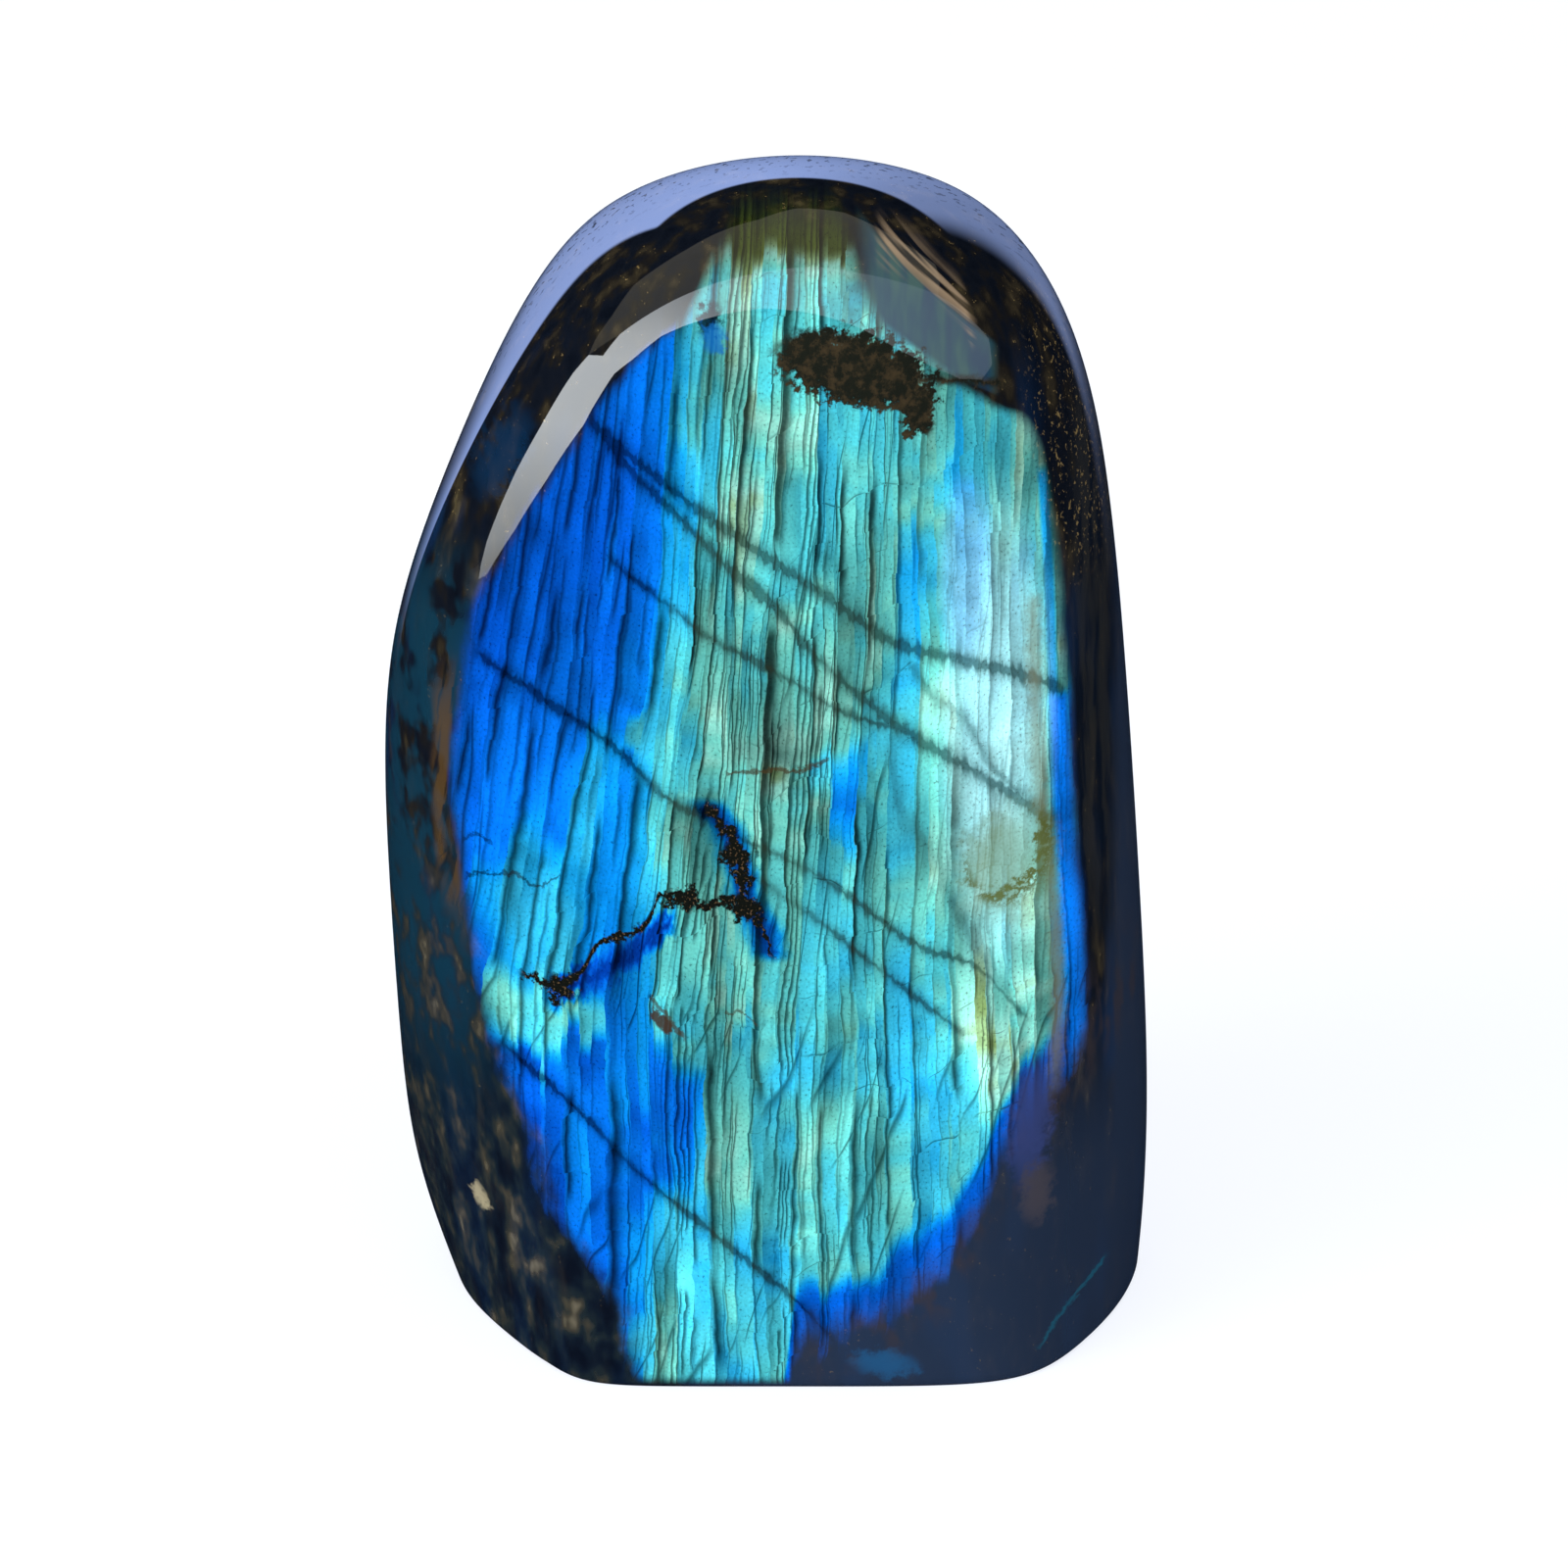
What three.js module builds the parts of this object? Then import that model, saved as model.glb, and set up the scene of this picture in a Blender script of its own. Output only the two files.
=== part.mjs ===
// A polished labradorite freeform: one upright stone, ground into soft flats that blend into
// one another, polished all over and cut flat below so that it stands by itself.
// Millimetres, +Z up, broad polished front towards -Y, origin at the middle of the base.

import * as THREE from 'three';

// How crisply neighbouring flats meet: a higher power leaves less rounding on their ridges.
const ridgePower = 16;

// Each ground flat: the way it faces, in degrees round from the front towards the right side
// and in degrees up, then its distance from a point low inside the stone, on the base's cut.
const flats = {
  front: [-2, 5, 25.5],
  frontLeft: [-24, 4, 26],
  frontRight: [24, 4, 26.5],
  frontFoot: [0, -8, 20],
  leftBevel: [-58, -6, 23.5],
  rightBevel: [60, 1, 29],
  frontShoulder: [-4, 38, 72],
  leftShoulder: [-52, 34, 68.5],
  rightShoulder: [46, 40, 78],
  left: [-92, -2, 30.5],
  leftFoot: [-85, -24, 23.5],
  leftUpper: [-92, 20, 49],
  leftCrown: [-90, 44, 79],
  leftTop: [-90, 66, 98],
  crown: [0, 84, 104.5],
  rightTop: [90, 60, 95],
  rightUpper: [92, 26, 61.5],
  right: [90, 5, 34.5],
  rightFoot: [84, -10, 31],
  back: [180, 3, 20.5],
  backLeft: [-138, 4, 26.5],
  backRight: [140, 4, 26.5],
  backShoulder: [180, 42, 72],
};

// The rough block, a little inside the stone, whose grid is moved out onto the polished
// surface: its half width, half depth and height, and how many facets run along each.
const block = { halfWidth: 26, halfDepth: 19, height: 80 };
const facets = { across: 22, deep: 16, up: 36 };

// The unit vector that a flat faces.
function facing(azimuthDegrees, elevationDegrees) {
  const azimuth = THREE.MathUtils.degToRad(azimuthDegrees);
  const elevation = THREE.MathUtils.degToRad(elevationDegrees);
  const level = Math.cos(elevation);
  return new THREE.Vector3(
    level * Math.sin(azimuth),
    -level * Math.cos(azimuth),
    Math.sin(elevation),
  );
}

const faces = Object.values(flats).map(([azimuth, elevation, distance]) => ({
  normal: facing(azimuth, elevation),
  distance,
}));

// How far out a point lies, as a share of the way to the polished surface: each flat gives
// its own share, and a high power mean of them all rounds the ridges between them.
function shareOfStone(point) {
  let sum = 0;
  for (const { normal, distance } of faces) {
    sum += Math.max(0, normal.dot(point) / distance) ** ridgePower;
  }
  return sum ** (1 / ridgePower);
}

// The same share for the block's sides and top. It is 1 all over them, and less than 1 only
// on the block's bottom, which stays flat and becomes the stone's cut base.
function shareOfBlock(point) {
  return Math.max(
    Math.abs(point.x) / block.halfWidth,
    Math.abs(point.y) / block.halfDepth,
    point.z / block.height,
  );
}

// The block's grid moved out along rays from the middle of its bottom to the stone's surface.
function stoneGeometry() {
  const geometry = new THREE.BoxGeometry(
    2 * block.halfWidth,
    2 * block.halfDepth,
    block.height,
    facets.across,
    facets.deep,
    facets.up,
  );
  geometry.translate(0, 0, block.height / 2);
  const { position } = geometry.attributes;
  const point = new THREE.Vector3();
  for (let index = 0; index < position.count; index += 1) {
    point.fromBufferAttribute(position, index);
    const share = shareOfStone(point);
    if (share > 0) {
      point.multiplyScalar(shareOfBlock(point) / share);
    }
    position.setXYZ(index, point.x, point.y, point.z);
  }
  geometry.computeBoundingBox();
  const middle = geometry.boundingBox.getCenter(new THREE.Vector3());
  geometry.translate(-middle.x, -middle.y, 0);
  geometry.computeVertexNormals();
  return geometry;
}

// Dark feldspar that flashes blue and teal under a clear, glassy polish.
const polishedLabradorite = new THREE.MeshStandardMaterial({
  color: 0x2f7f9e,
  roughness: 0.12,
  metalness: 0,
});

const stone = new THREE.Mesh(stoneGeometry(), polishedLabradorite);
stone.name = 'labradorite';

const object = new THREE.Group();
object.add(stone);

export default object;
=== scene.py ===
# Polished labradorite freeform: one stone with a blue and teal flash, dressed around its solid.
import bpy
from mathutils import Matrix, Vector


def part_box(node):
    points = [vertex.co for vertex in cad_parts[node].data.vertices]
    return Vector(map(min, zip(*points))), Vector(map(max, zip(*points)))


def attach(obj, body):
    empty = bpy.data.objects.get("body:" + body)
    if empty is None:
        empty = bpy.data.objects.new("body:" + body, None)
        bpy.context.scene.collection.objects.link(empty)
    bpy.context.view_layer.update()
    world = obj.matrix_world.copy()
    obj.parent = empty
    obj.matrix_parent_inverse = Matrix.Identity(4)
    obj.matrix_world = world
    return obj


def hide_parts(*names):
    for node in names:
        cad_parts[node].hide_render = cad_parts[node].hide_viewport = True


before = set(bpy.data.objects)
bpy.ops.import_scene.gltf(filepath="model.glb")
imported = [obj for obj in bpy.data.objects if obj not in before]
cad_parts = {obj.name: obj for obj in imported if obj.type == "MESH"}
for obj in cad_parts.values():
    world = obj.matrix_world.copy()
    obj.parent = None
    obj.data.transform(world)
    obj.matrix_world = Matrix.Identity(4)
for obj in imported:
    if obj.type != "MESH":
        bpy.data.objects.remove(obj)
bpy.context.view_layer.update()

import math

import bpy
from mathutils import Vector

mm = 0.001               # shapes are written in millimetres, Blender works in metres


class Wire:
    # one output socket; sums written with it add the Math or Vector Math nodes they stand for
    def __init__(self, graph, socket):
        self.graph = graph
        self.socket = socket

    def isVector(self):
        return self.socket.type in ("VECTOR", "RGBA")

    def other(self, name):
        return Wire(self.graph, self.socket.node.outputs[name])

    def __add__(self, other):
        return self.graph.calc("ADD", self, other)

    def __radd__(self, other):
        return self.graph.calc("ADD", other, self)

    def __sub__(self, other):
        return self.graph.calc("SUBTRACT", self, other)

    def __rsub__(self, other):
        return self.graph.calc("SUBTRACT", other, self)

    def __mul__(self, other):
        return self.graph.calc("MULTIPLY", self, other)

    def __rmul__(self, other):
        return self.graph.calc("MULTIPLY", other, self)

    def __truediv__(self, other):
        return self.graph.calc("DIVIDE", self, other)

    def __rtruediv__(self, other):
        return self.graph.calc("DIVIDE", other, self)

    def __pow__(self, other):
        return self.graph.calc("POWER", self, other)

    def __abs__(self):
        return self.graph.calc("ABSOLUTE", self)

    def most(self, other):
        return self.graph.calc("MAXIMUM", self, other)

    def least(self, other):
        return self.graph.calc("MINIMUM", self, other)

    def dot(self, other):
        return self.graph.calc("DOT_PRODUCT", self, other)

    # the value times a factor, plus a number, in one node
    def scaled(self, factor, plus):
        return self.graph.calc("MULTIPLY_ADD", self, factor, plus)

    # 0 below the first value and 1 above the second, eased between them; they may be swapped
    def rise(self, low, high):
        return self.graph.node("ShaderNodeMapRange", {"interpolation_type": "SMOOTHSTEP"},
                               {"Value": self, "From Min": low, "From Max": high})

    # 1 where the value is near nought, falling off to 0 at the width given
    def near(self, width):
        return abs(self).rise(width, 0)


class Graph:
    # a node tree and the one method that adds any node to it
    def __init__(self, tree):
        self.tree = tree

    def node(self, kind, settings=None, links=None, out=0):
        made = self.tree.nodes.new(kind)
        for name, value in (settings or {}).items():
            if name == "stops":
                self.setStops(made.color_ramp, value)
            elif name == "curve":
                self.setCurve(made.mapping, value)
            else:
                setattr(made, name, value)
        for name, value in (links or {}).items():
            if isinstance(value, Wire):
                self.tree.links.new(value.socket, made.inputs[name])
            else:
                made.inputs[name].default_value = value
        return None if out is None else Wire(self, made.outputs[out])

    def setStops(self, ramp, stops):
        while len(ramp.elements) < len(stops):
            ramp.elements.new(1)
        for element, (place, colour) in zip(ramp.elements, stops):
            element.position = place
            element.color = colour

    def setCurve(self, mapping, points):
        curve = mapping.curves[0]
        while len(curve.points) < len(points):
            curve.points.new(1, 1)
        for point, place in zip(curve.points, points):
            point.location = place
            point.handle_type = "AUTO_CLAMPED"
        mapping.extend = "HORIZONTAL"
        mapping.update()

    def calc(self, operation, *values):
        vectors = [isinstance(value, tuple) or isinstance(value, Wire) and value.isVector()
                   for value in values]
        if not any(vectors):
            return self.node("ShaderNodeMath", {"operation": operation}, dict(enumerate(values)))
        if operation == "MULTIPLY" and not all(vectors):
            vector, number = values if vectors[0] else reversed(values)
            return self.node("ShaderNodeVectorMath", {"operation": "SCALE"},
                             {0: vector, "Scale": number})
        out = "Value" if operation == "DOT_PRODUCT" else 0
        return self.node("ShaderNodeVectorMath", {"operation": operation},
                         dict(enumerate(values)), out)

    def mix(self, factor, first, second):
        return self.node("ShaderNodeMix", {"data_type": "RGBA"}, {0: factor, 6: first, 7: second},
                         out=2)

    def blend(self, factor, first, second):
        return self.node("ShaderNodeMix", {"data_type": "FLOAT"}, {0: factor, 2: first, 3: second})

    def split(self, value):
        kind = "Color" if value.socket.type == "RGBA" else "XYZ"
        made = self.node("ShaderNodeSeparate" + kind, {}, {0: value}).socket.node
        return [Wire(self, output) for output in made.outputs]

    def pack(self, x, y, z):
        return self.node("ShaderNodeCombineXYZ", {}, {0: x, 1: y, 2: z})

    def noise(self, vector, scale, detail=2, roughness=0.5, flat=False):
        return self.node("ShaderNodeTexNoise", {"noise_dimensions": "2D" if flat else "3D"},
                         {"Vector": vector, "Scale": scale, "Detail": detail,
                          "Roughness": roughness})

    # a smooth curve through a few (input, output) points, each inside its own range
    def through(self, value, points, inRange, outRange):
        inLow, inHigh = inRange
        outLow, outHigh = outRange
        scaled = [((a - inLow) / (inHigh - inLow), (b - outLow) / (outHigh - outLow))
                  for a, b in sorted(points)]
        span = inHigh - inLow
        share = self.node("ShaderNodeFloatCurve", {"curve": scaled},
                          {"Value": value.scaled(1 / span, -inLow / span)})
        return share.scaled(outHigh - outLow, outLow)


# an sRGB colour, 0 to 255, as Blender's linear one
def tint(red, green, blue):
    def linear(level):
        share = level / 255
        return share / 12.92 if share <= 0.04045 else ((share + 0.055) / 1.055) ** 2.4
    return (linear(red), linear(green), linear(blue), 1)


print("frame loaded")

# The stone's form: a block's grid moved out to the ground flats, which blend into one another.
# Each flat: degrees round from the front towards the right, degrees up, distance from the
# middle of the base.
stone = {
    "node": "labradorite",
    "flats": {
        "front": (-2, 5, 25.5),
        "frontLeft": (-24, 4, 26),
        "frontRight": (24, 4, 26.5),
        "frontFoot": (0, -8, 20),
        "leftBevel": (-58, -6, 23.5),
        "rightBevel": (60, 1, 29),
        "frontShoulder": (-4, 38, 72),
        "leftShoulder": (-52, 34, 68.5),
        "rightShoulder": (46, 40, 78),
        "left": (-92, -2, 30.5),
        "leftFoot": (-85, -24, 23.5),
        "leftUpper": (-92, 20, 49),
        "leftCrown": (-90, 44, 79),
        "leftTop": (-90, 66, 98),
        "crown": (0, 84, 104.5),
        "rightTop": (90, 60, 95),
        "rightUpper": (92, 26, 61.5),
        "right": (90, 5, 34.5),
        "rightFoot": (84, -10, 31),
        "back": (180, 3, 20.5),
        "backLeft": (-138, 4, 26.5),
        "backRight": (140, 4, 26.5),
        "backShoulder": (180, 42, 72),
    },
    "ridgePower": 16,      # higher is crisper
    "halfWidth": 26,       # the block inside the stone
    "halfDepth": 19,
    "height": 80,
    "gridStep": 0.45,      # on the block
    "baseBevel": 0.4,
    "waver": 0.0016,       # how far the hand polish wanders, as a share of the reach
    "waverSize": 24,
}


def facing(azimuth, elevation):
    level = math.cos(math.radians(elevation))
    return Vector((level * math.sin(math.radians(azimuth)),
                   -level * math.cos(math.radians(azimuth)),
                   math.sin(math.radians(elevation))))


# the Geometry Nodes tree that grinds the block's grid into the stone
def buildStoneTree():
    tree = bpy.data.node_groups.new("groundStone", "GeometryNodeTree")
    inputs = {"Half Width": "Float", "Half Depth": "Float", "Height": "Float",
              "Grid Step": "Float", "Ridge Power": "Float", "Base Bevel": "Float",
              "Waver": "Float", "Waver Size": "Float", "Material": "Material"}
    for name, kind in inputs.items():
        tree.interface.new_socket(name, in_out="INPUT", socket_type="NodeSocket" + kind)
    tree.interface.new_socket("Mesh", in_out="OUTPUT", socket_type="NodeSocketGeometry")
    g = Graph(tree)
    given = tree.nodes.new("NodeGroupInput")
    value = {name: Wire(g, given.outputs[name]) for name in inputs}
    size = g.pack(value["Half Width"] * 2, value["Half Depth"] * 2, value["Height"])
    counts = {"Vertices " + axis: value[side] * factor / value["Grid Step"] + 1
              for axis, side, factor in (("X", "Half Width", 2), ("Y", "Half Depth", 2),
                                         ("Z", "Height", 1))}
    block = g.node("GeometryNodeMeshCube", {}, {"Size": size, **counts})
    lift = g.pack(0, 0, value["Height"] * 0.5)
    place = g.node("GeometryNodeInputPosition") + lift
    x, y, z = g.split(place)
    # how far out a point lies: 1 on the flats, and 1 on the block's sides and top
    total = None
    for azimuth, elevation, distance in stone["flats"].values():
        share = place.dot(tuple(facing(azimuth, elevation) / (distance * mm))).most(0)
        power = share ** value["Ridge Power"]
        total = power if total is None else total + power
    stoneShare = total ** (1 / value["Ridge Power"])
    blockShare = (abs(x) / value["Half Width"]).most(abs(y) / value["Half Depth"])
    blockShare = blockShare.most(z / value["Height"])
    reach = blockShare / stoneShare
    onBase = z.rise(0.02 * mm, 0.01 * mm)
    edge = g.node("ShaderNodeVectorMath", {"operation": "LENGTH"}, {0: place}, out="Value")
    bevel = 1 - onBase * value["Base Bevel"] * stoneShare / edge
    waver = 1 - value["Waver"] * g.noise(place, 1 / value["Waver Size"], detail=1)
    ground = g.node("GeometryNodeSetPosition", {},
                    {"Geometry": block, "Position": place * (reach * bevel * waver)})
    smooth = g.node("GeometryNodeSetShadeSmooth", {}, {"Geometry": ground})
    real = g.node("GeometryNodeRealizeInstances", {}, {"Geometry": smooth})
    finished = g.node("GeometryNodeSetMaterial", {},
                      {"Geometry": real, "Material": value["Material"]})
    result = tree.nodes.new("NodeGroupOutput")
    tree.links.new(finished.socket, result.inputs["Mesh"])
    return tree


# the object's evaluated mesh as a plain one, moved into the CAD node's box
def plainMesh(source, name, low, high):
    bpy.context.view_layer.update()
    evaluated = source.evaluated_get(bpy.context.evaluated_depsgraph_get())
    mesh = bpy.data.meshes.new_from_object(evaluated)
    mesh.name = name
    for axis in range(3):
        places = [vertex.co[axis] for vertex in mesh.vertices]
        least, most = min(places), max(places)
        scale = (high[axis] - low[axis]) / (most - least)
        for vertex in mesh.vertices:
            vertex.co[axis] = low[axis] + (vertex.co[axis] - least) * scale
    mesh.update()
    return mesh


def makeStone(material):
    source = bpy.data.objects.new("block", bpy.data.meshes.new("block"))
    bpy.context.scene.collection.objects.link(source)
    modifier = source.modifiers.new("groundStone", "NODES")
    modifier.node_group = buildStoneTree()
    settings = {"Half Width": stone["halfWidth"] * mm, "Half Depth": stone["halfDepth"] * mm,
                "Height": stone["height"] * mm, "Grid Step": stone["gridStep"] * mm,
                "Ridge Power": float(stone["ridgePower"]), "Base Bevel": stone["baseBevel"] * mm,
                "Waver": stone["waver"], "Waver Size": stone["waverSize"] * mm,
                "Material": material}
    for item in modifier.node_group.interface.items_tree:
        if item.in_out == "INPUT":
            modifier[item.identifier] = settings[item.name]
    low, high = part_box(stone["node"])
    mesh = plainMesh(source, "polishedStone", low, high)
    bpy.data.objects.remove(source)
    piece = bpy.data.objects.new("polishedStone", mesh)
    piece.cycles.shadow_terminator_geometry_offset = 0.1
    bpy.context.scene.collection.objects.link(piece)
    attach(piece, "root")
    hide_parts(stone["node"])
    print("stone ground:", len(mesh.polygons), "faces")
    return piece


# The stone's look. Places on the front are (across, up) in millimetres from the middle of the
# base. The flash lies inside three edges, each zone has its hue on the palette, and seams,
# veins and stains lie over it.
look = {
    "palette": [                     # the flash from its darkest blue to its last olive
        (0.00, (3, 14, 66)), (0.12, (1, 36, 126)), (0.24, (1, 60, 158)),
        (0.34, (2, 82, 190)), (0.44, (4, 104, 206)), (0.53, (8, 134, 216)),
        (0.61, (24, 152, 208)), (0.69, (52, 172, 202)), (0.77, (72, 180, 186)),
        (0.85, (104, 194, 180)), (0.92, (146, 212, 194)), (0.97, (132, 166, 118)),
        (1.00, (92, 110, 38)),
    ],
    "exposure": 0.95,
    # the hue across the front before any zone changes it
    "hueAcross": [(-27, 0.26), (-20, 0.33), (-14, 0.4), (-11.2, 0.5), (-9.6, 0.64),
                  (-7, 0.78), (0, 0.8), (8, 0.78), (12, 0.72), (16, 0.82), (21, 0.88),
                  (23, 0.66), (24.5, 0.42), (28, 0.3)],
    "leftEdge": [(0, -11), (5.9, -12.1), (10.9, -14.4), (15.7, -18.2), (22, -19.6),
                 (25, -21.4), (32, -23.2), (38, -23.8), (44.6, -24.9), (50, -25.1),
                 (56, -24.5), (65, -23.2), (71, -20.2), (75.5, -17.6), (80, -14.7),
                 (84, -11.9), (86.4, -9.8), (88.4, -7.6), (90, -6.2), (91.5, -5),
                 (94, -3.6), (97, -2)],
    "rightEdge": [(0, 26), (24, 25.4), (33, 25.2), (45, 24.4), (58, 23.4), (69, 22.4),
                  (76, 21.2), (80, 19.8), (82, 17), (84, 14.5), (86, 12.4), (88, 9.6),
                  (90, 7.8), (94, 6.4), (97, 5)],
    "lowEdge": [(-31, -6), (0, -6), (1.5, 0), (2.3, 4.6), (4.8, 6), (6.9, 7), (9.7, 8.8),
                (12.2, 10.6), (14.2, 12.5), (15.9, 14.5), (17.4, 17.9), (18.4, 20.2),
                (21.5, 24), (23.5, 26), (31, 33)],
    "zones": {
        # middle, half size, degrees of lean, soft share, hue, light
        "royalTop": ((-15, 74), (6, 12), 8, 0.7, 0.32, 0.85),
        "azureTop": ((-8.6, 85.5), (1.6, 4), 0, 0.8, 0.42, 1.1),
        "azureLow": ((-19, 40), (6, 10), 0, 0.8, 0.54, 1),
        "azureMid": ((-13.8, 50), (2.8, 9), 8, 0.8, 0.54, 1.02),
        "tealGap": ((-10.4, 55.5), (1.3, 5), 0, 0.6, 0.74, 0.62),
        "mintBelow": ((-0.6, 49), (4, 4.4), 0, 0.6, 0.82, 1.2),
        "lowBlue": ((-9.4, 24), (4.6, 9), 6, 0.5, 0.43, 1),
        "lowBlueFoot": ((-12.8, 13), (4, 9), 10, 0.6, 0.47, 0.95),
        "aquaFoot": ((-2, 10), (7, 13), 0, 0.8, 0.71, 1.15),
        "aquaHeel": ((-8, 4.6), (3.6, 7), 0, 0.7, 0.8, 1.15),
        "aquaLow": ((6.4, 22), (5, 8), 0, 0.8, 0.76, 1.15),
        "mintLeft": ((-20.8, 30.2), (3.2, 5.4), 24, 1, 0.84, 1.25),
        "mintLow": ((-16.6, 31), (5, 4.4), 0, 1, 0.76, 1.05),
        "dimTeal": ((-3, 56), (7, 24), 0, 0.8, 0.83, 0.74),
        "tealLow": ((-6.8, 46), (3.4, 4), 0, 0.8, 0.88, 0.62),
        "dimCentre": ((5.7, 62.6), (4.6, 5), 0, 0.8, 0.83, 0.8),
        "tealTop": ((-3.4, 84), (4.4, 4.4), 0, 0.8, 0.84, 0.74),
        "skyRight": ((12, 66), (3.6, 9), 0, 0.7, 0.64, 1.1),
        "skyLath": ((14.4, 77.4), (1.9, 4), 0, 0.4, 0.6, 1.25),
        "blueLaths": ((5.6, 52.6), (2.8, 6.4), 0, 0.5, 0.6, 1.45),
        "paleOlive": ((-2.5, 37.4), (2.6, 5.4), 0, 0.6, 0.89, 1.05),
        "aquaRight": ((12, 30), (7, 9), 0, 0.8, 0.69, 1.4),
        "aquaSky": ((1.6, 29.5), (2.4, 5), 0, 0.7, 0.7, 1.2),
        "mintRight": ((18.4, 36), (4.4, 14), 0, 0.7, 0.92, 1.5),
        "brightRight": ((16.6, 56), (7, 26), 0, 0.7, 0.84, 1.42),
    },
    "milk": {                        # middle, half size, soft share, colour, strength
        "pale": ((17.8, 55), (5.2, 23), 0.8, (164, 218, 226), 0.75),
        "violet": ((15.2, 69), (2.6, 9), 0.8, (104, 166, 216), 0.65),
    },
    "lean": [(-26, 0.19), (-18, 0.16), (-12, 0.13), (-6, 0.1), (0, 0.06), (9, 0.02),
             (26, -0.03)],
    # smoky seams: places across and up, half width, strength
    "seams": {
        "first": ([(-14, 80.8), (-8.9, 77.1), (-4.7, 74.1), (-0.4, 71.2), (4.5, 67.8),
                   (10.2, 63.7), (15.2, 61.8), (21.4, 58.9), (23.1, 57.5)], 0.85, 1.05),
        "second": ([(-13.4, 80.5), (-11, 77.7), (-6.8, 73.8), (-3.5, 70.5), (1, 66.5),
                    (3.1, 63.7), (7.4, 59.5), (10.2, 56.9), (15.2, 53.3), (21.5, 48)],
                   0.8, 0.9),
        "third": ([(-12.5, 70.3), (-8.4, 67.3), (-4.4, 64.4), (1, 61.6), (5.7, 58.6),
                   (10.2, 56.9)], 0.6, 0.8),
        "fourth": ([(10.6, 62.4), (13.1, 58.9), (15.2, 57.1), (17.1, 53.3), (22.4, 47.2)],
                   0.9, 0.6),
        "fifth": ([(-23, 61.1), (-18, 58.4), (-12.2, 55.1), (-6.5, 50.5), (-4.6, 50.2)],
                  0.75, 0.9),
        "fifthLow": ([(-3, 48.7), (1.6, 46.6), (5.8, 43.9), (8.7, 41.4), (12, 38.7),
                      (15.4, 37.1), (20.5, 31.1)], 0.55, 0.7),
        "sixth": ([(-1, 45.2), (4.1, 41.4), (8.8, 37.2), (13.7, 32.6), (15.4, 31)],
                  0.6, 0.65),
        "seventh": ([(9.2, 55.6), (10.2, 50.5), (12.7, 46.3), (15.3, 40.2), (19.3, 32.5)],
                    1.4, 0.5),
        "eighth": ([(-21.5, 28.5), (-15.7, 24.8), (-10.7, 20), (-6.6, 16.5), (-1.4, 11.7),
                    (2.5, 7.9), (5.5, 4.1)], 0.55, 0.85),
    },
    # thin cracks across the laths
    "cracks": {
        "middle": ([(-3.4, 53.7), (-1, 53.9), (2.3, 54.1), (4.6, 54.9)], 0.26, 0.9),
        "leftUpper": ([(-24.4, 45.2), (-22.9, 46), (-21.9, 45.4)], 0.2, 0.7),
        "left": ([(-24.2, 42.2), (-22.2, 42.9), (-20.2, 43.4), (-18.6, 42.8), (-16.6, 44)],
                 0.2, 0.8),
        "chip": ([(-9.6, 34.8), (-8.4, 33.6), (-6.7, 31.6)], 0.3, 0.9),
        "chipRight": ([(-3.6, 34), (-2.4, 34.1), (-1, 32.9)], 0.16, 0.7),
    },
    # the royal blue under the vein's branch
    "underVein": [(-17.4, 34), (-14, 36), (-11.4, 37.8), (-9, 40.2), (-7.6, 41.6)],
    # the black vein: its stem as (up, across), its branch as (across, up)
    "veinStem": [(38.6, 0.1), (39.1, -0.1), (41.1, -0.6), (43, -1.7), (45.8, -2.3),
                 (48.9, -3.3), (50.6, -4.6), (51.2, -5)],
    "veinBranch": [(-19.9, 35), (-17.1, 34.9), (-15.2, 35.9), (-13.3, 38.9), (-10.6, 40),
                   (-9.4, 41.4), (-8.3, 43.5), (-6.5, 43.1), (-5.3, 42.8), (-3.3, 43.3),
                   (-1.7, 43)],
    # small marks: middle, half size, degrees of lean, soft share, colour, strength
    "marks": {
        "violetHaze": ((20.8, 22.4), (2.4, 6.6), 4, 1, (56, 68, 120), 0.85),
        "brownHaze": ((21.4, 16), (1.8, 3.4), 0, 1, (76, 70, 76), 0.7),
        "paleFoot": ((9.2, 2.4), (3.4, 1.7), 10, 1, (30, 92, 140), 0.55),
        # the glint is a painted glint, a soft light sparkle on the dark body
        "glint": ((-23.6, 12.4), (0.9, 1.3), 0, 1, (196, 182, 146), 0.6),
        "hole": ((-4.7, 89.2), (1.1, 1.7), 20, 0.6, (4, 16, 32), 0.95),
        "holeBlue": ((-4.3, 87.8), (1.3, 1.4), 0, 0.8, (16, 96, 170), 0.75),
        "upperNavy": ((-20.8, 77), (2.2, 5), 30, 0.9, (8, 38, 66), 0.85),
        "ringWash": ((18.8, 44.6), (4.8, 6.2), 0, 0.9, (112, 132, 84), 0.7),
        "chip": ((-8.5, 32.8), (1.4, 0.7), 48, 0.4, (62, 42, 30), 0.95),
    },
    # strips down the right edge as (up, across): half width, hue, light
    "strips": {
        "cyan": ([(57, 22.3), (66, 21.9), (76, 21.2)], 0.6, 0.6, 1.25),
        "blue": ([(21, 25), (29, 24.8), (37.4, 24.2), (45.9, 23.4), (57.5, 22.7)], 1.3,
                 0.44, 1.9),
    },
    "tanBand": [(20, 22.6), (30, 22.9), (38.6, 22.6), (50.5, 21.2), (60.7, 20.7), (66, 20.6)],
}


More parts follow.
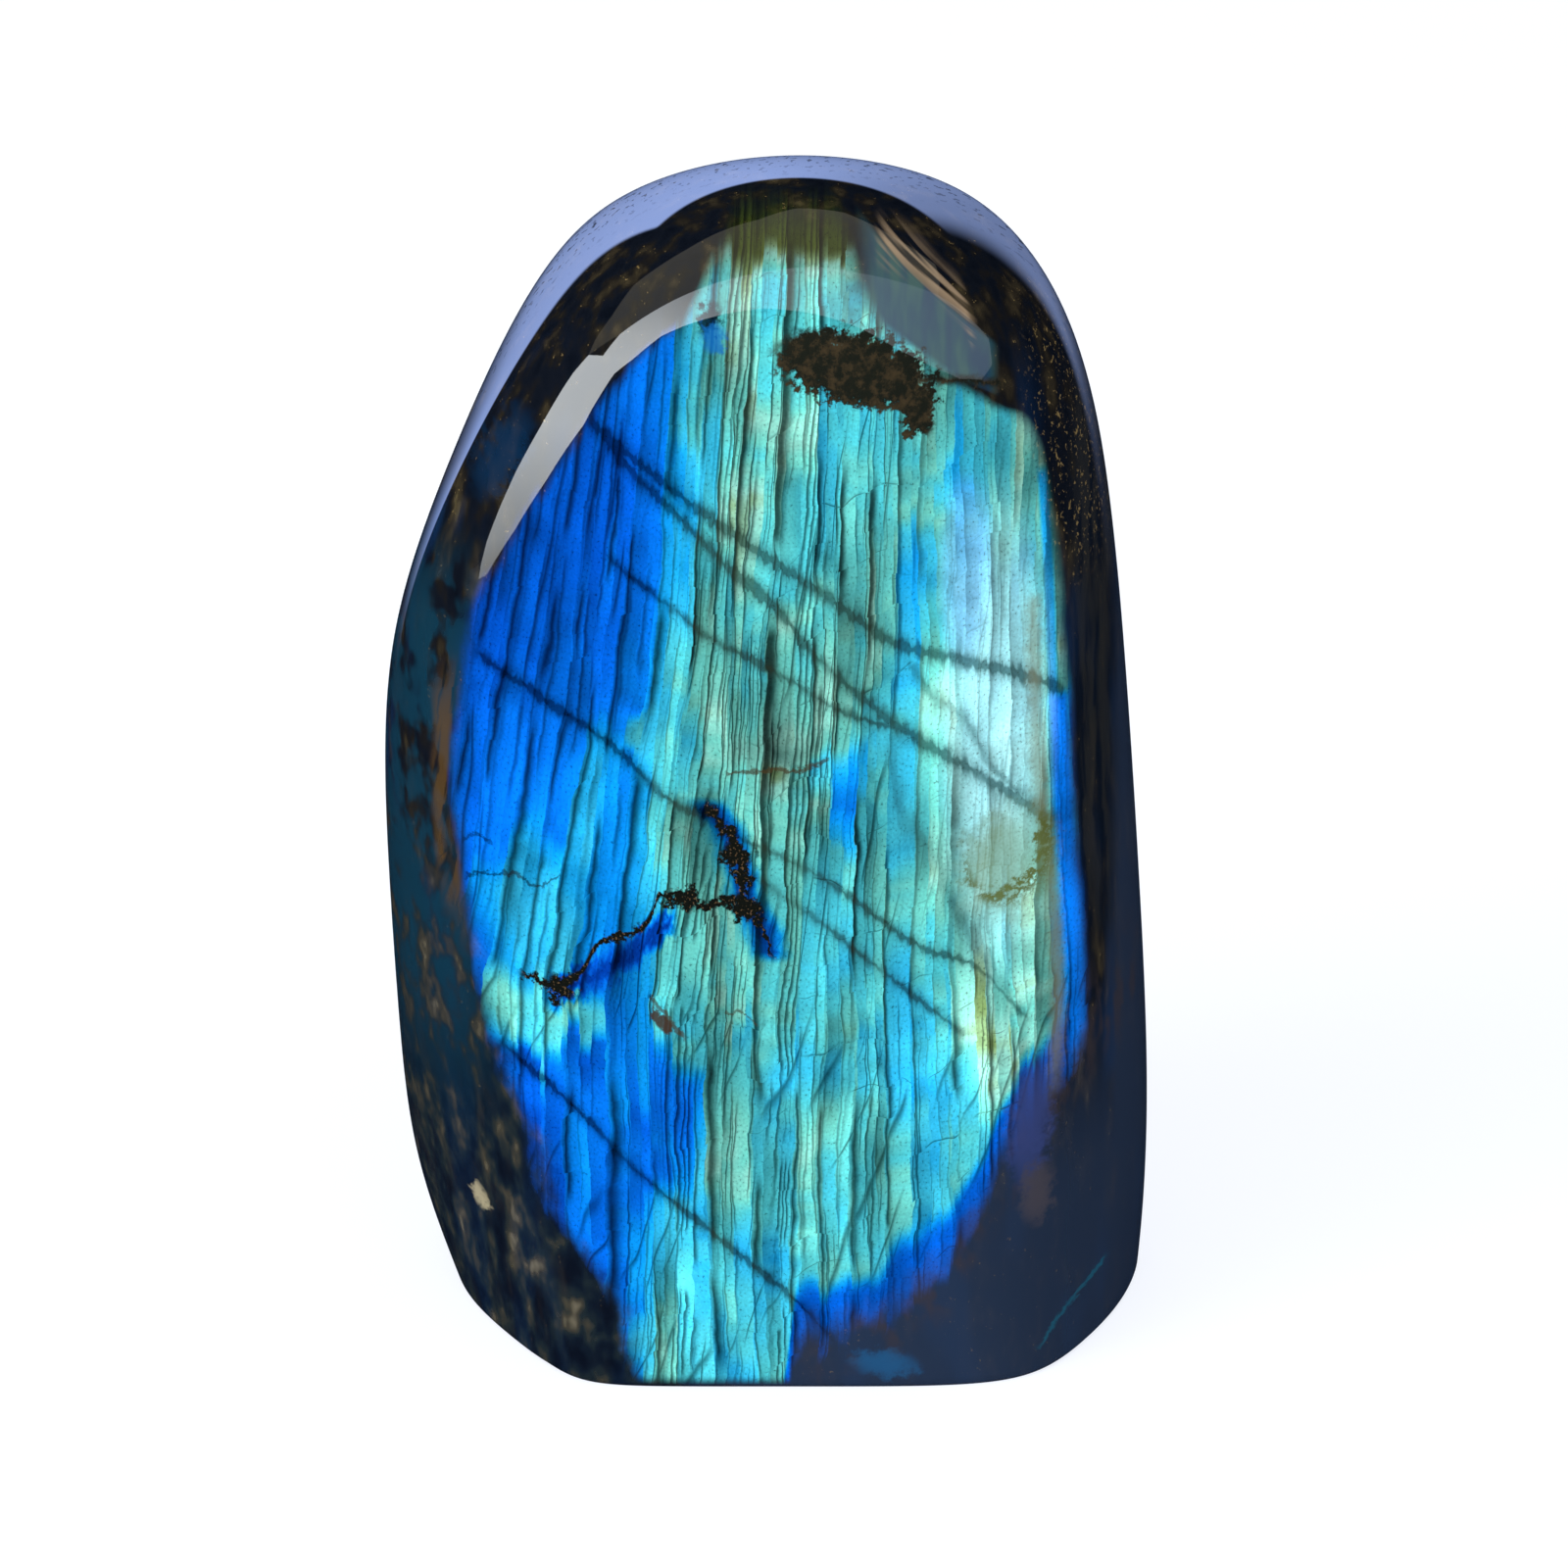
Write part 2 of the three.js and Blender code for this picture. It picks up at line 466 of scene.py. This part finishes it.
# a soft ellipse: 1 in its middle and 0 past its edge
def zoneMask(g, x, z, middle, reach, lean=0, soft=1):
    cos, sin = math.cos(math.radians(lean)), math.sin(math.radians(lean))
    across = x.scaled(cos / reach[0], (middle[1] * sin - middle[0] * cos) / reach[0])
    up = z.scaled(cos / reach[1], -(middle[0] * sin + middle[1] * cos) / reach[1])
    if lean:
        across = z.scaled(-sin / reach[0], across)
        up = x.scaled(sin / reach[1], up)
    return up.scaled(up, across * across).rise(1, (1 - soft) ** 2)


# upright layers in the stone: how far across its layer a place lies, and the layer's chance,
# which drifts slowly up it
def layers(g, across, z, pitch, seed, sway=1.7):
    bend = g.noise(g.pack(across * (0.36 / pitch) + seed, z * (0.012 / pitch), 0), 1, detail=0,
                   flat=True)
    count = across / pitch + bend * sway + seed
    number = g.calc("FLOOR", count)
    chance = g.noise(g.pack(number * 4.7 + seed + 0.3, z * 0.08 + number * 2.3, 0), 1, detail=0,
                     flat=True)
    return count - number, chance


# a layer's dark edge: crisp on one side, with a painted shade of its step on the other
def edgeLine(inside, chance, width, soft, low, high):
    return inside.rise(width, width * 0.25) * inside.rise(0, soft) * chance.rise(low, high)


# a mask along a curve given as (along, aside) points, fading out at both ends; with a shade
# it is a dark core in a soft shade of that width
def seamMask(g, along, aside, points, halfWidth, crisp=0, fade=0.6, shade=0):
    ends = sorted(points)
    rises = [abs((b[1] - a[1]) / (b[0] - a[0])) for a, b in zip(ends, ends[1:])]
    slope = sum(rises) / len(rises)
    reach = halfWidth * math.sqrt(1 + slope * slope)
    first, last = ends[0][0], ends[-1][0]
    low, high = min(p[1] for p in ends) - 1, max(p[1] for p in ends) + 1
    away = abs(aside - g.through(along, ends, (first - 1, last + 1), (low, high)))
    mask = away.rise(reach, reach * crisp)
    if shade:
        mask = mask * 0.6 + away.rise(shade * math.sqrt(1 + slope * slope), 0) * 0.45
    return mask * along.rise(first - fade, first + fade) * along.rise(last + fade, last - fade)


def labradorite():
    material = bpy.data.materials.new("labradorite")
    material.use_nodes = True
    material.node_tree.nodes.clear()
    g = Graph(material.node_tree)
    place = g.node("ShaderNodeTexCoord", out="Object") * (1 / mm)
    x, y, z = g.split(place)
    front = y.rise(6, 1)
    farX = front.scaled(-99, x + 99)     # the marks' own x, which misses them behind
    foot = z.rise(37, 27)

    # upright laths, each with its own tone, that lean a little on the left
    lean = g.through(x, look["lean"], (-30, 30), (-0.3, 0.3))
    wander = g.noise(g.pack(x * 0.2, z * 0.04, 0), 1, detail=2, flat=True) - 0.5
    ragged = g.noise(g.pack(x * 1.8, z * 0.7, 0), 1, detail=2, flat=True) - 0.5
    sway = g.noise(g.pack(x * 0.4, z * 0.24 + 7, 0), 1, detail=2, flat=True) - 0.5
    hairIn, hairChance = layers(g, z - x * 0.35 + wander * 5, x * 2.4, 3.6, 5.3)
    across = x - lean * (z - 50).most(-16) + wander * 1.4 + sway * 0.5 + ragged * 0.16 \
        + (hairChance - 0.5) * -0.38
    lathIn, lathChance = layers(g, across, z, 2.5, 0.4)
    lathA, lathB, lathC = g.split(lathChance.other("Color"))
    stripIn, stripChance = layers(g, across + z * 0.012, z, 1.05, 7.2)
    stripA, stripB, stripC = g.split(stripChance.other("Color"))
    splintIn, splintChance = layers(g, across - z * 0.03, z, 0.5, 3.6)

    # zones of hue, whose borders break along the laths
    shiftX = (0.5 - lathIn) * 1.1 + (0.5 - stripIn) * 0.6
    shiftZ = (lathB - 0.5) * 12 + (stripB - 0.5) * 6
    zoneX, zoneZ = x + shiftX, z + shiftZ
    hue = g.through(zoneX + z.rise(52, 68) * -3.4, look["hueAcross"], (-32, 32), (0, 1))
    drift = g.noise(g.pack(zoneX * 0.34 + 5, zoneZ * 0.14, 0), 1, detail=2, flat=True) - 0.5
    patches = g.noise(g.pack(zoneX * 0.4, zoneZ * 0.22 + 9, 0), 1, detail=2, flat=True) - 0.5
    # patches, laths and strips each have their own tone; the ramp across each lath and strip is
    # painted shade that draws their steps
    light = 1 + patches * 0.9 + (lathA - 0.5) * 0.9 + (stripA - 0.5) * 0.8 \
        + (lathIn - 0.5) * 0.24 + (stripIn - 0.5) * 0.2
    for middle, reach, leanBy, soft, zoneHue, zoneLight in look["zones"].values():
        mask = zoneMask(g, zoneX, zoneZ, middle, reach, leanBy, soft)
        hue = g.blend(mask, hue, zoneHue)
        if zoneLight != 1:
            light = light * mask.scaled(zoneLight - 1, 1)
    hue = hue + zoneX.rise(-9, -16) * z.rise(66, 46) * z.rise(30, 36) * 0.1
    tones = drift * 0.32 + (lathC - 0.5) * 0.18 + (stripC - 0.5) * 0.14
    hue = hue + tones * zoneX.rise(-13, -6).most(0.4 + foot * 0.5)
    under = seamMask(g, x, z + ragged * 3, look["underVein"], 1.5)
    halo = seamMask(g, z, x + ragged, look["veinStem"], 2)
    hue = g.blend(under.most(halo * 0.75), hue, 0.2)
    light = light * halo.scaled(-0.5, 1)
    # painted shade over the step above the middle crack: darker, and turned olive
    shadeAboveCrack = seamMask(g, x, z - 1.5 + shiftZ * 0.3, look["cracks"]["middle"][0], 2)
    hue = g.blend(shadeAboveCrack * 0.8, hue, 0.9)
    light = light * shadeAboveCrack.scaled(-0.3, 1)
    dusk = (z + drift * 4).rise(91.3, 94.2)
    hue = g.blend(dusk, hue, 1)
    light = light * dusk.scaled(-0.66, 1)

    # the flash's edges, and the strips of blue along them
    frayed = (g.noise(g.pack(x * 0.5, z * 0.12, 0), 1, detail=2, flat=True) - 0.5) * 1.6
    left = x - g.through(z, look["leftEdge"], (-2, 99), (-32, 32)) + frayed
    right = g.through(z, look["rightEdge"], (-2, 99), (-32, 32)) - x + frayed * 0.5
    low = z + shiftZ * 0.3 - g.through(x, look["lowEdge"], (-32, 32), (-10, 99)) + frayed
    blotch = g.noise(g.pack(x * 0.9, z * 0.5 + 3, 0), 1, detail=3, flat=True) - 0.5
    inside = (left + blotch * 1.4 * foot).rise(-0.5, 1 + foot) * right.rise(-0.6, 1.2) \
        * (low + blotch * 2.4).rise(-2.8, 1.8)
    inside = inside * z.rise(97, 94) * z.rise(0.3, 1.4) * front
    hue = g.blend(low.rise(5, 1.8), hue, 0.36)
    for points, width, stripHue, stripLight in look["strips"].values():
        strip = seamMask(g, z, x, points, width, 0.3)
        hue = g.blend(strip, hue, stripHue)
        light = light * strip.scaled(stripLight - 1, 1)
    flash = g.node("ShaderNodeValToRGB", {"stops": [(at, tint(*colour)) for at, colour
                                                    in look["palette"]]}, {0: hue})
    for middle, reach, soft, milkColour, strength in look["milk"].values():
        milk = zoneMask(g, x, z, middle, reach, 0, soft) * strength
        flash = g.mix(milk, flash, tint(*milkColour))

    # the layers' dark edges with their painted step shade, in bundles, soft where they lie deep in
    # the blue
    deep = (x + (z - 50) * -0.2).rise(-8, -12.5)
    bundle = g.noise(g.pack(across * 0.3, z * 0.012, 0), 1, detail=1, flat=True)
    busy = (bundle.rise(0.42, 0.58) + x.rise(-11, -8) * x.rise(9, 4) * 0.5).least(1)
    blur = deep.most(foot * 0.7)
    soft = blur * 0.14 + 0.02
    lathEdge = edgeLine(lathIn, lathC, (blur * 0.2).most(z.rise(56, 72) * 0.1) + 0.2, soft,
                        0.38, 0.5)
    stripEdge = edgeLine(stripIn, stripC, deep * 0.2 + 0.25, soft, 0.42, 0.58) \
        * (0.55 + busy * 0.45) * (1 - deep * 0.3)
    splintEdge = edgeLine(splintIn, splintChance, 0.5, 0.1, 0.42, 0.56) * busy * (1 - deep * 0.8)
    crossIn, crossChance = layers(
        g, x - z * 0.15 + (34 - z).most(0) * 0.22 + wander * 3, z, 1.7, 11.1)
    crossEdge = edgeLine(crossIn, crossChance, blur * 0.24 + 0.14, soft, 0.5, 0.66)
    gap = g.noise(g.pack(x * 0.3, z * 0.3 + 4, 0), 1, detail=1, flat=True).rise(0.46, 0.58)
    hairline = edgeLine(hairIn, hairChance, 0.05, 0.015, 0.46, 0.54) * gap * x.rise(-8, 6)
    sheaf = (across + 5.4).near(1.5).most((across - 1.9).near(1))
    sheafEdge = splintIn.rise(0.7, 0.15) * (sheaf * (stripB.rise(0.36, 0.5))).rise(0, 0.4)
    lines = lathEdge.most(stripEdge * 0.95).most(sheafEdge * 0.85) \
        .most(splintEdge * 0.85).most(crossEdge * 0.85).most(hairline * 0.8)
    lines = lines * (1 - x.rise(7, 14) * z.rise(28, 42) * 0.6)
    grain = g.noise(g.pack(x * 4.4, z * 3.8, 0), 1, detail=2, flat=True)
    light = light * (0.72 + grain * 0.6) * look["exposure"]
    lines = lines.most(grain.rise(0.31, 0.28) * 0.5)
    flash = flash * (1 - lines * 0.9) * light

    # smoky seams, hatched by the laths they cross, and thin brown cracks
    hatch = g.noise(g.pack(across * 2.2, z * 0.3, 0), 1, detail=2, flat=True).rise(0.3, 0.75)
    thick = 1.15 + wander * 1.2 + sway
    smoke = None
    for points, width, strength in look["seams"].values():
        seam = seamMask(g, x, z + frayed * 0.2 + ragged * 0.6, points, (hatch + 0.35) * width, 0,
                        0.6, width * 1.7) * strength
        smoke = seam if smoke is None else smoke.most(seam)
    smoke = (smoke * thick).least(0.92)
    soot = g.pack(0.014, 0.018, 0.011) * hue.rise(0.55, 0.8)
    flash = g.mix(smoke, flash, flash * (0.1, 0.16, 0.17) + soot)
    jag = g.noise(g.pack(x * 0.9 + 3, z * 0.9, 0), 1, detail=3, roughness=0.7, flat=True) - 0.5
    crack = None
    for points, width, strength in look["cracks"].values():
        line = seamMask(g, x, z + jag * 1.4, points, width, 0.3, 0.2) * strength
        crack = line if crack is None else crack.most(line)
    flash = g.mix(crack, flash, flash * 0.15 + g.pack(0.04, 0.025, 0.01) * hue.rise(0.6, 0.75))
    tan = seamMask(g, z, x + jag * 0.8, look["tanBand"], 1.1)
    flash = g.mix(tan * 0.6, flash, tint(128, 124, 92))
    ringX, ringZ = jag.scaled(3.6, x), jag.scaled(-3.6, z)
    ring = zoneMask(g, ringX, ringZ, (18.9, 45.4), (3.9, 4.8), 8, 0.2) \
        * (1 - zoneMask(g, ringX, ringZ, (18.5, 46.5), (3.3, 4.7), 8, 0.25)) * z.rise(50, 47)
    flash = g.mix(ring * jag.rise(-0.16, 0.04), flash, tint(78, 76, 22))

    # the dark feldspar around the flash
    grime = g.noise(place * (0.5, 0.5, 0.2), 1, detail=2, roughness=0.6)
    body = g.node("ShaderNodeValToRGB", {"stops": [
        (0.3, tint(8, 12, 20)), (0.45, tint(14, 18, 26)), (0.55, tint(24, 22, 20)),
        (0.68, tint(52, 45, 32)), (0.8, tint(86, 76, 52))]}, {0: grime})
    navy = g.noise(place * (0.22, 0.22, 0.07) + (11, 4, 2), 1, detail=1).rise(0.5, 0.68)
    corner = x.rise(19, 22) * z.rise(64, 72) * z.rise(92, 84)
    body = g.mix(navy * z.rise(88, 76) * (0.8 - corner * 0.8), body, tint(12, 40, 74))
    lowLeft = x.rise(-4, -12) * z.rise(50, 34)
    clouds = g.noise(place * (0.42, 0.42, 0.3) + (3, 8, 1), 1, detail=2, roughness=0.6)
    haze = (z.rise(34, 14) * x.rise(-12, 2)).most(x.rise(26.4, 28.4)) * 0.8
    body = g.mix(haze, body, tint(39, 52, 74))
    body = g.mix(lowLeft * 0.8, body, g.node("ShaderNodeValToRGB", {"stops": [
        (0.34, tint(8, 14, 26)), (0.46, tint(14, 24, 36)), (0.56, tint(28, 38, 42)),
        (0.68, tint(64, 60, 50)), (0.8, tint(112, 104, 86))]}, {0: clouds}))
    leftTeal = x.rise(-20, -26) * z.rise(72, 62) * z.rise(14, 34) * front
    body = g.mix(leftTeal * clouds.rise(0.62, 0.44) * 0.8, body, tint(14, 52, 70))
    rust = (clouds.rise(0.44, 0.6) * low.rise(-7, -2)) * foot * x.rise(0, 8)
    body = g.mix(rust * 0.6, body, tint(58, 50, 50))
    tanStripe = left.rise(-2.4, -1.4) * left.rise(0.2, -0.6) * z.rise(34, 42) * z.rise(62, 54)
    streaky = g.noise(g.pack(across * 1.4, z * 0.1, 0), 1, detail=2, flat=True).rise(0.35, 0.6)
    rightStreaks = x.rise(23, 24.6) * x.rise(28.4, 26.4) * z.rise(28, 42) * 0.8
    body = g.mix(rightStreaks, body, g.mix(streaky, tint(10, 18, 30), tint(36, 37, 38)))
    dusty = g.noise(place * (2.4, 2.4, 2), 1, detail=2, roughness=0.7)
    golden = dusty.rise(0.66, 0.74) * grime.rise(0.45, 0.6) * z.rise(40, 80).most(0.3)
    golden = (golden * front).most(dusty.rise(0.58, 0.7) * corner)
    body = g.mix(golden * 0.8, body, tint(138, 116, 74))
    body = g.mix(tanStripe * streaky * front * 0.7, body, tint(84, 62, 34))

    # the clear blue-green window below the crown, with its tan streaks
    window = x.rise(6.4, 8.4) * x.rise(17.9, 16.8) * (x * 0.88 + z).rise(101.9, 101.3) \
        * (x * 0.57 + z).rise(92.3, 92.8) * front
    glass = g.noise(g.pack(x * 0.7, z * 0.18, 0), 1, detail=2, flat=True)
    glass = g.node("ShaderNodeValToRGB", {"stops": [
        (0.3, tint(32, 60, 84)), (0.5, tint(36, 70, 84)), (0.7, tint(50, 84, 84))]}, {0: glass})
    body = g.mix(window, body, glass)
    streak = seamMask(g, x, z, [(8.5, 94), (10.9, 92.9), (13.2, 90.9), (14.8, 89.4),
                                (15.6, 87.6)], 1.2)
    comb = g.noise(g.pack(x * 0.08 - z * 0.07, x * 1.5 + z * 1.7, 0), 1, detail=1, flat=True)
    body = g.mix(streak * comb.rise(0.4, 0.62) * front, body, tint(150, 128, 104))
    colour = g.mix(inside, body, flash)

    # the black vein, and the brown patch under the crown
    stem = seamMask(g, z, x + jag * 3, look["veinStem"], z.rise(40.4, 43.4) * 0.25 + 0.3, 0.5)
    branch = seamMask(g, x + jag * 1.2, z + jag * 2.4, look["veinBranch"], 0.42, 0.4)
    knotX, knotZ = jag.scaled(3, farX), jag.scaled(3, z)
    black = stem.most(branch)
    for knot in ((-16.8, 34.4), (-6.9, 43.2), (-2, 42.8), (-2.6, 47)):
        black = black.most(zoneMask(g, knotX, knotZ, knot, (1.5, 1.3), 30, 0.4))
    black = black * front
    colour = g.mix(black, colour, g.mix(grain.rise(0.6, 0.74), tint(16, 18, 14),
                                               tint(92, 70, 48)))
    patchX, patchZ = jag.scaled(3.4, farX), jag.scaled(3.4, z)
    patch = zoneMask(g, patchX, patchZ, (6.4, 85.6), (6.8, 3.1), 14, 0.2) \
        .most(zoneMask(g, patchX, patchZ, (11.4, 82.6), (1.8, 3), -10, 0.25)) \
        .most(seamMask(g, x, z + jag, [(11, 84.6), (13, 84.3), (18.3, 83.2)], 0.7))
    brown = g.mix(jag.rise(-0.1, 0.26), tint(26, 28, 22), tint(62, 51, 35))
    colour = g.mix(patch, colour, brown)
    markX, markZ = jag.scaled(2.2, farX), jag.scaled(-2.2, z)
    for middle, reach, leanBy, soft, markColour, strength in look["marks"].values():
        mark = zoneMask(g, markX, markZ, middle, reach, leanBy, soft) * strength
        colour = g.mix(mark, colour, tint(*markColour))
    tealStreak = seamMask(g, farX, z + jag * 1.6, [(21.8, 2.4), (22.8, 3.6), (24.2, 4.8), (26, 5.8),
                                    (27.4, 6.3)], 0.4)
    colour = g.mix(tealStreak * 0.5, colour, tint(24, 104, 128))

    # pits and scratches that take the polish off the sides
    pits = g.noise(g.pack(x * 1.6 + z * 0.5, z * 0.8 - x * 0.4 + y * 1.6, 0), 1, detail=3,
                   flat=True).rise(0.37, 0.34) * y.rise(-4, 4)

    shader = g.node("ShaderNodeBsdfPrincipled", {}, {
        "Base Color": colour, "Roughness": 0.4, "Specular IOR Level": 0.0,
        "Coat Weight": 1 - pits * 0.85, "Coat Roughness": 0.02, "Coat IOR": 1.56})
    g.node("ShaderNodeOutputMaterial", {}, {"Surface": shader}, out=None)
    print("stone's look drawn:", len(material.node_tree.nodes), "nodes")
    return material


polishedStone = makeStone(labradorite())

# The camera stands where the photo's did: straight in front, looking down on the stone.
view = {"target": (1.1, 0.95, 44.5), "distance": 600, "elevation": 22, "lens": 170.1}


def makeCamera():
    camera = bpy.data.objects.new("camera", bpy.data.cameras.new("camera"))
    camera.data.lens = view["lens"]
    camera.data.sensor_width = 36
    camera.data.clip_start = 0.01
    away = facing(0, view["elevation"])
    camera.location = (Vector(view["target"]) + away * view["distance"]) * mm
    camera.rotation_euler = away.to_track_quat("Z", "Y").to_euler()
    bpy.context.scene.collection.objects.link(camera)
    bpy.context.scene.camera = camera


makeCamera()
print("camera placed")

# The stage: a pale table, a bent softbox over the front, a dim ceiling and a white room. The
# softbox's reflection draws the bright band below the crown, and the room's glow behind the
# stone draws its rim.
stage = {
    "floor": {"half": 3, "colour": (0.25, 0.25, 0.25, 1), "glowColour": (0.9, 0.93, 1, 1),
              "glow": 0.88},
    "panels": {
        # pairs of edge points, each in degrees round and up, and the radiance between them
        "softbox": {
            "colour": (0.92, 0.97, 1, 1),
            "edges": [
                ((-61, -8), (-64, -8), 3), ((-57, -6), (-66, -5), 5), ((-54, -3), (-68, 1), 7),
                ((-50, 3), (-69, 7), 9), ((-49, 14), (-73, 18), 9), ((-46, 17), (-73, 23), 9),
                ((-45, 18), (-62, 20), 9), ((-40, 26), (-65, 30), 8), ((-33, 30), (-59, 42), 6),
                ((-22, 34), (-47, 57), 3), ((-10, 36), (-36, 63), 2.2),
                ((3, 33), (-5, 71), 2), ((20, 24), (20, 72), 1.8), ((32, 14), (47, 63), 1.4),
                ((42, 8), (70, 41), 1.2), ((49, 5), (70, 18), 1.1), ((56, 5), (63, 9), 1),
            ],
        },
        "ceiling": {
            "colour": (1, 0.93, 0.75, 1),
            "edges": [
                ((-73, 23), (-80, 28), 0.6), ((-65, 30), (-90, 36), 0.6),
                ((-59, 42), (-110, 43), 0.6), ((-47, 57), (-125, 55), 0.6),
                ((-36, 63), (-138, 59), 0.6), ((-5, 71), (-160, 63), 0.6),
                ((20, 72), (180, 59), 0.6), ((47, 63), (160, 57), 0.6),
                ((70, 41), (110, 50), 0.6),
            ],
        },
    },
    "panelDistance": 2,
    "panelMiddle": 0.08,     # the height that the panels are seen from
    "room": 0.3,            # the room's light on the stone
    "polishRoom": 0.015,     # and in its reflections
}


def glowing(name, colour, strength=None):
    material = bpy.data.materials.new(name)
    material.use_nodes = True
    material.node_tree.nodes.clear()
    g = Graph(material.node_tree)
    if strength is None:
        strength = g.node("ShaderNodeAttribute", {"attribute_name": "glow"}, out="Fac")
    emission = g.node("ShaderNodeEmission", {}, {"Color": colour, "Strength": strength})
    g.node("ShaderNodeOutputMaterial", {}, {"Surface": emission}, out=None)
    return material


def makePanels():
    for name, panel in stage["panels"].items():
        places, glows = [], []
        for inner, outer, radiance in panel["edges"]:
            for towards in (inner, outer):
                places.append(Vector((0, 0, stage["panelMiddle"]))
                              + facing(*towards) * stage["panelDistance"])
                glows.append(radiance)
        faces = [(i, i + 1, i + 3, i + 2) for i in range(0, len(places) - 2, 2)]
        mesh = bpy.data.meshes.new(name)
        mesh.from_pydata(places, [], faces)
        mesh.attributes.new("glow", "FLOAT", "POINT").data.foreach_set("value", glows)
        mesh.materials.append(glowing(name, panel["colour"]))
        holder = bpy.data.objects.new(name, mesh)
        holder.visible_camera = False
        bpy.context.scene.collection.objects.link(holder)


def makeFloor():
    half = stage["floor"]["half"]
    mesh = bpy.data.meshes.new("floor")
    mesh.from_pydata([(-half, -half, 0), (half, -half, 0), (half, half, 0), (-half, half, 0)],
                     [], [(0, 1, 2, 3)])
    floor = bpy.data.objects.new("floor", mesh)
    bpy.context.scene.collection.objects.link(floor)
    floor.visible_glossy = False
    material = bpy.data.materials.new("floor")
    material.use_nodes = True
    shader = material.node_tree.nodes["Principled BSDF"]
    shader.inputs["Base Color"].default_value = stage["floor"]["colour"]
    shader.inputs["Roughness"].default_value = 0.9
    shader.inputs["Emission Color"].default_value = stage["floor"]["glowColour"]
    shader.inputs["Emission Strength"].default_value = stage["floor"]["glow"]
    mesh.materials.append(material)


# white to the camera, soft on the stone, and in the polish dark but for a glow behind the stone
def makeRoom():
    world = bpy.data.worlds.new("room")
    world.use_nodes = True
    world.node_tree.nodes.clear()
    g = Graph(world.node_tree)
    seen = g.node("ShaderNodeLightPath", out="Is Camera Ray")
    polish = seen.other("Is Glossy Ray")
    towards = g.node("ShaderNodeTexCoord", out="Generated")
    x, y, z = g.split(towards)
    turned = towards.dot((0, math.cos(math.radians(22)), -math.sin(math.radians(22))))
    glow = 0.3 + (1 - turned) * 12
    glow = glow * z.rise(0.56, 0.53) * z.rise(-0.33, -0.08) * (x / y + 0.68).rise(0, 0.05) \
        * (x / y).rise(0.75, 0.45)
    glow = glow * y.rise(0, 0.1) * (0.55 + 0.45 * x.rise(0.4, -0.1)) + stage["polishRoom"]
    strength = stage["room"] + (glow - stage["room"]) * polish
    strength = strength + (1 - strength) * seen
    colour = g.mix(polish, (1, 1, 1, 1), (0.38, 0.52, 1, 1))
    background = g.node("ShaderNodeBackground", {}, {"Color": colour, "Strength": strength})
    g.node("ShaderNodeOutputWorld", {}, {"Surface": background}, out=None)
    bpy.context.scene.world = world


makePanels()
makeFloor()
makeRoom()
bpy.context.scene.view_settings.view_transform = "Standard"
print("stage lit")
